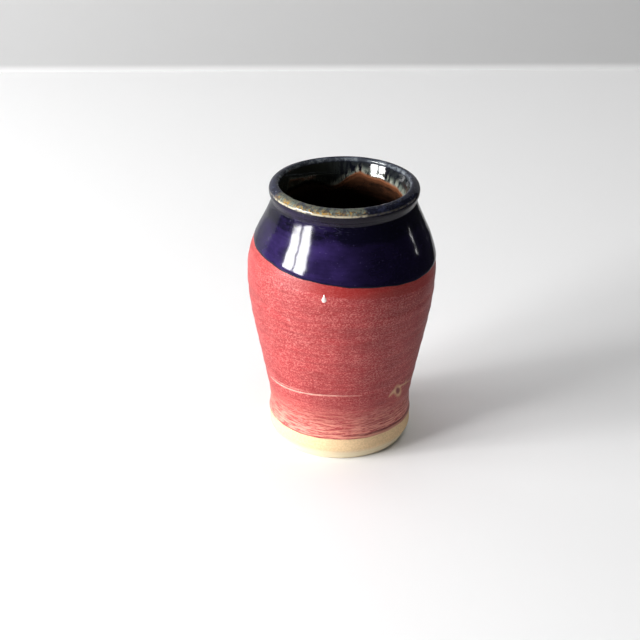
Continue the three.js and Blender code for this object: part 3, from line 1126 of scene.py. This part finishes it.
def liner_material(glaze):
    """Brown liner: amber along its upper edge on one side, nearly black elsewhere, with level
    finger lines and soft runs. The amber is the glaze's thin edge, painted as light on the side that
    the window lights, where the lines and runs are painted lighter too."""
    material, pen, shader, spot = new_material("brown liner glaze")
    lines = pen.wheel_lines(spot, 1.6)
    runs = pen.flecks(spot, 4.0, 0.5, 0.2, flatness=0.25)
    share = pen.times(pen.math("ADD", lines, runs), 0.08)
    right = pen.painted("right_side")
    below = pen.painted("below_line")
    blotch = pen.flecks(spot, 6.0, 0.5, 0.15, flatness=1.5)
    edge = pen.rise(below, 3.2, 1.3, 0.0, 0.45)
    edge = pen.math("ADD", edge, pen.times(blotch, pen.rise(below, 8.0, 3.0, 0.0, 0.22)))
    # Painted light: the amber edge, and the lines and runs, are lighter on the side of the throat
    # that the window lights.
    edge = pen.times(edge, right)
    share = pen.math("ADD", pen.times(share, pen.rise(right, 0.0, 1.0, 0.3, 1.0)), edge, clamp=True)
    tone = pen.mix(share, glaze.umber, glaze.amber)
    join(pen, shader, "Base Color", tone)
    shader.inputs["Roughness"].default_value = 0.16
    dent(pen, shader, pen.ripple(spot, 0.10, 0.02))
    return material


# ---- Studio --------------------------------------------------------------------------------------

TABLE_LEFT = -1.2  # metres along X from the axis to the table's left end, and the wall's
TABLE_EDGE = 0.17  # and to the line where the table's reflecting part stops
TABLE_RIGHT = 0.45  # and to its right end, and the wall's
TABLE_FRONT = -0.33  # metres along Y
WALL_TOP = 1.2
# Painted highlight: the wall is painted lighter in a band along the table's edge.
WALL_GLOW_HEIGHT = 0.0055  # metres of the wall above the table that shade from the lighter colour
WALL_GLOW_GAIN = 1.45  # how much lighter the wall is at the table's level
MIRRORED = 0.5  # share of the table's and the wall's brightness that glazes reflect
PANE_BEARINGS = {"left window pane": 199.6, "right window pane": 215.8}
PANE_SIZE = (0.285, 0.36)
SMALL_LIGHTS = (  # name, bearing, distance, height, size, watts
    ("side panel", 150, 0.85, 0.26, (0.25, 0.26), 0.12),
    ("upper strip", 15, 0.8, 0.144, (0.020, 0.016), 0.022),
    ("lower strip", 16, 0.8, 0.116, (0.022, 0.008), 0.006),
)
GLINT_AIM = (0, 0, 0.1)  # the point near the shoulder that the mirrored lights face
CAMERA_AIM = (-0.0096, -0.0027, -0.0055)  # metres from the middle of the CAD model
CAMERA_BEARING = 90.5607  # degrees from +X that the camera faces
CAMERA_PITCH = 27.668  # degrees that it looks down
CAMERA_ROLL = 0.535


def one_sided(name, base, low, rough, hidden):
    """A matt material that only shows from its front, and not within a hidden distance of the
    origin, where the vase covers it, so that light from below reaches the foot. It takes the low
    colour at the table's level, which on the wall is a painted highlight along the table's edge, and
    is less bright in reflections."""
    material = bpy.data.materials.new(name)
    material.use_nodes = True
    material.node_tree.nodes.clear()
    pen = Pen(material.node_tree)
    where = pen.node("ShaderNodeTexCoord").outputs["Object"]
    height = pen.node("ShaderNodeSeparateXYZ", {0: where}).outputs[2]
    tone = pen.mix(pen.rise(height, WALL_GLOW_HEIGHT, 0.0), base, low)
    mirrored = pen.node("ShaderNodeLightPath").outputs["Is Glossy Ray"]
    tone = pen.mix(mirrored, tone, Vector(base) * MIRRORED)
    shader = pen.node("ShaderNodeBsdfPrincipled", {"Base Color": tone, "Roughness": rough})
    shader.inputs["Specular IOR Level"].default_value = 0.3
    clear = pen.node("ShaderNodeBsdfTransparent")
    back = pen.node("ShaderNodeNewGeometry").outputs["Backfacing"]
    reach = pen.node("ShaderNodeVectorMath", {0: where}, operation="LENGTH").outputs["Value"]
    away = pen.math("MAXIMUM", back, pen.math("LESS_THAN", reach, hidden))
    both = pen.node("ShaderNodeMixShader", {0: away, 1: shader.outputs[0], 2: clear.outputs[0]})
    end = pen.node("ShaderNodeOutputMaterial")
    pen.tree.links.new(both.outputs[0], end.inputs["Surface"])
    return material


def flat_piece(name, corners, material):
    """One rectangle, kept out of the object."""
    mesh = bpy.data.meshes.new(name)
    mesh.from_pydata(corners, [], [(0, 1, 2, 3)])
    mesh.materials.append(material)
    piece = bpy.data.objects.new(name, mesh)
    bpy.context.scene.collection.objects.link(piece)
    return piece


def compass(bearing, distance, height):
    """A point at a bearing and distance from the vase's axis, and at a height."""
    angle = math.radians(bearing)
    return Vector((distance * math.cos(angle), distance * math.sin(angle), height))


def soft_light(name, centre, aim, size, power):
    """A rectangular light facing a point, hidden from the camera."""
    light = bpy.data.lights.new(name, "AREA")
    light.shape = "RECTANGLE"
    light.size, light.size_y = size
    light.energy = power
    lamp = bpy.data.objects.new(name, light)
    lamp.location = centre
    lamp.rotation_euler = (Vector(aim) - centre).to_track_quat("-Z", "Y").to_euler()
    lamp.visible_camera = False
    bpy.context.scene.collection.objects.link(lamp)
    return lamp


def room_world(strength):
    """Light from the whole room: dim near the table, bright overhead, to the left and to the
    back, and from under the table for views of the foot. The glazes mirror less of it, and the
    camera sees plain pale grey."""
    world = bpy.data.worlds.new("pale room")
    world.use_nodes = True
    world.node_tree.nodes.clear()
    pen = Pen(world.node_tree)
    way = pen.node("ShaderNodeTexCoord").outputs["Generated"]
    axes = pen.node("ShaderNodeSeparateXYZ", {0: way}).outputs
    side = pen.times(axes[0], -0.6)
    depth = pen.times(axes[1], 0.45)
    lift = pen.math("ADD", pen.math("ADD", side, depth), pen.times(axes[2], 0.85))
    level = pen.rise(lift, 0.25, 0.95, 0.05, strength)
    rays = pen.node("ShaderNodeLightPath").outputs
    level = pen.times(level, pen.rise(rays["Is Glossy Ray"], 0.0, 1.0, 1.0, 0.4))
    level = pen.math("ADD", level, pen.rise(axes[2], -0.4, -0.8, 0.0, 0.6))
    glow = pen.node("ShaderNodeBackground", {"Color": (0.98, 0.99, 1.0), "Strength": level})
    plain = pen.node("ShaderNodeBackground", {"Color": (0.80, 0.80, 0.80), "Strength": 1.0})
    seen = rays["Is Camera Ray"]
    both = pen.node("ShaderNodeMixShader", {0: seen, 1: glow.outputs[0], 2: plain.outputs[0]})
    end = pen.node("ShaderNodeOutputWorld")
    pen.tree.links.new(both.outputs[0], end.inputs["Surface"])
    bpy.context.scene.world = world


def aim_camera(studio):
    """The camera, a little more than a metre away and looking down at the vase."""
    middle = (CAD_LOW + CAD_HIGH) / 2
    aim = middle + Vector(CAMERA_AIM)
    pitch = math.radians(CAMERA_PITCH)
    look = compass(CAMERA_BEARING, math.cos(pitch), -math.sin(pitch))
    right = look.cross(Vector((0, 0, 1))).normalized()
    up = right.cross(look)
    roll = math.radians(CAMERA_ROLL)
    level = right * math.cos(roll) + up * math.sin(roll)
    high = up * math.cos(roll) - right * math.sin(roll)
    data = bpy.data.cameras.new("studio camera")
    data.lens = 135
    data.sensor_width = 36
    data.clip_start = 0.01
    camera = bpy.data.objects.new("studio camera", data)
    turn = Matrix((level, high, -look)).transposed().to_4x4()
    camera.matrix_world = Matrix.Translation(aim - look * studio.camera_distance) @ turn
    bpy.context.scene.collection.objects.link(camera)
    bpy.context.scene.camera = camera


# ---- Operators -----------------------------------------------------------------------------------

def settings():
    """The shape's and the glazes' properties, and the outline that the shape gives."""
    scene = bpy.context.scene
    return scene.vase_shape, scene.vase_glaze, Outline(scene.vase_shape)


class BuildClay(bpy.types.Operator):
    """Build the fired clay body, bare at the foot."""
    bl_idname = "vase.build_clay"
    bl_label = "Build clay body"

    def execute(self, context):
        shape, glaze, outline = settings()
        place("clay_body_look", clay_mesh(outline, shape), clay_material(glaze), "clay_body")
        return {"FINISHED"}


class BuildRose(bpy.types.Operator):
    """Build the rose coat round the wall."""
    bl_idname = "vase.build_rose"
    bl_label = "Build rose glaze"

    def execute(self, context):
        shape, glaze, outline = settings()
        place("rose_glaze_look", rose_mesh(outline, shape, glaze), rose_material(glaze),
              "rose_glaze")
        return {"FINISHED"}


class BuildCobalt(bpy.types.Operator):
    """Build the cobalt coat over the shoulder."""
    bl_idname = "vase.build_cobalt"
    bl_label = "Build cobalt glaze"

    def execute(self, context):
        shape, glaze, outline = settings()
        place("cobalt_glaze_look", cobalt_mesh(outline, shape, glaze), cobalt_material(glaze),
              "cobalt_glaze")
        return {"FINISHED"}


class BuildLip(bpy.types.Operator):
    """Build the lip's coat, which runs down the throat."""
    bl_idname = "vase.build_lip"
    bl_label = "Build lip glaze"

    def execute(self, context):
        shape, glaze, outline = settings()
        place("lip_glaze_look", lip_mesh(outline, shape, glaze), lip_material(glaze),
              "lip_glaze")
        return {"FINISHED"}


class BuildLiner(bpy.types.Operator):
    """Build the brown liner inside."""
    bl_idname = "vase.build_liner"
    bl_label = "Build liner glaze"

    def execute(self, context):
        shape, glaze, outline = settings()
        place("liner_glaze_look", liner_mesh(outline, shape, glaze), liner_material(glaze),
              "liner_glaze")
        return {"FINISHED"}


class BuildStudio(bpy.types.Operator):
    """Build the table, the wall, the lights and the camera."""
    bl_idname = "vase.build_studio"
    bl_label = "Build studio"

    def execute(self, context):
        studio = context.scene.vase_studio
        back = studio.wall_distance
        slope = math.tan(studio.wall_skew)
        left, edge, right = (
            (x, back + x * slope) for x in (TABLE_LEFT, TABLE_EDGE, TABLE_RIGHT)
        )
        covered = context.scene.vase_shape.foot_radius - 0.0008
        top = one_sided("pale table", studio.table, studio.table, 0.45, covered)
        near_left, near_edge, near_right = (
            (x, TABLE_FRONT, 0) for x in (TABLE_LEFT, TABLE_EDGE, TABLE_RIGHT)
        )
        flat_piece("table_top", [near_left, near_edge, (*edge, 0), (*left, 0)], top)
        side = flat_piece("table_side", [near_edge, near_right, (*right, 0), (*edge, 0)], top)
        side.visible_glossy = False
        # The wall's low colour is a painted highlight along the table's edge.
        flat_piece(
            "back_wall", [(*left, 0), (*right, 0), (*right, WALL_TOP), (*left, WALL_TOP)],
            one_sided("pale wall", studio.wall, Vector(studio.wall) * WALL_GLOW_GAIN, 0.9, covered),
        )
        for name, bearing in PANE_BEARINGS.items():
            centre = compass(bearing, studio.window_distance, studio.window_height)
            soft_light(name, centre, GLINT_AIM, PANE_SIZE, studio.window_power)
        ceiling = soft_light("ceiling", Vector((0.1, 0.1, 1.5)), (0.1, 0.1, 0), (1.6, 1.6),
                             studio.ceiling_power)
        ceiling.visible_glossy = False
        fill = soft_light("left fill", compass(187, 1.0, 0.4), (0, 0, 0.06), (0.4, 0.4),
                          studio.fill_power)
        fill.visible_glossy = False
        for name, bearing, distance, height, size, power in SMALL_LIGHTS:
            soft_light(name, compass(bearing, distance, height), GLINT_AIM, size, power)
        room_world(studio.room)
        aim_camera(studio)
        context.scene.view_settings.view_transform = "Standard"
        return {"FINISHED"}


class VasePanel(bpy.types.Panel):
    """The add-on's panel in the 3D view's sidebar."""
    bl_idname = "VIEW3D_PT_vase"
    bl_label = "Stoneware vase"
    bl_space_type = "VIEW_3D"
    bl_region_type = "UI"
    bl_category = "Vase"

    def draw(self, context):
        for step in STEPS:
            self.layout.operator(step.bl_idname)
        for owner in (context.scene.vase_shape, context.scene.vase_glaze, context.scene.vase_studio):
            box = self.layout.box()
            for name in owner.__annotations__:
                box.prop(owner, name)


STEPS = (BuildClay, BuildRose, BuildCobalt, BuildLip, BuildLiner, BuildStudio)
CLASSES = (VaseShape, VaseGlaze, VaseStudio, *STEPS, VasePanel)


def register():
    """Adds the classes and the scene's properties."""
    for item in CLASSES:
        bpy.utils.register_class(item)
    bpy.types.Scene.vase_shape = PointerProperty(type=VaseShape)
    bpy.types.Scene.vase_glaze = PointerProperty(type=VaseGlaze)
    bpy.types.Scene.vase_studio = PointerProperty(type=VaseStudio)


def unregister():
    """Takes them away again."""
    del bpy.types.Scene.vase_studio
    del bpy.types.Scene.vase_glaze
    del bpy.types.Scene.vase_shape
    for item in reversed(CLASSES):
        bpy.utils.unregister_class(item)


def main():
    """Builds everything."""
    register()
    bpy.ops.vase.build_clay()
    bpy.ops.vase.build_rose()
    bpy.ops.vase.build_cobalt()
    bpy.ops.vase.build_lip()
    bpy.ops.vase.build_liner()
    bpy.ops.vase.build_studio()


if __name__ == "__main__":
    main()
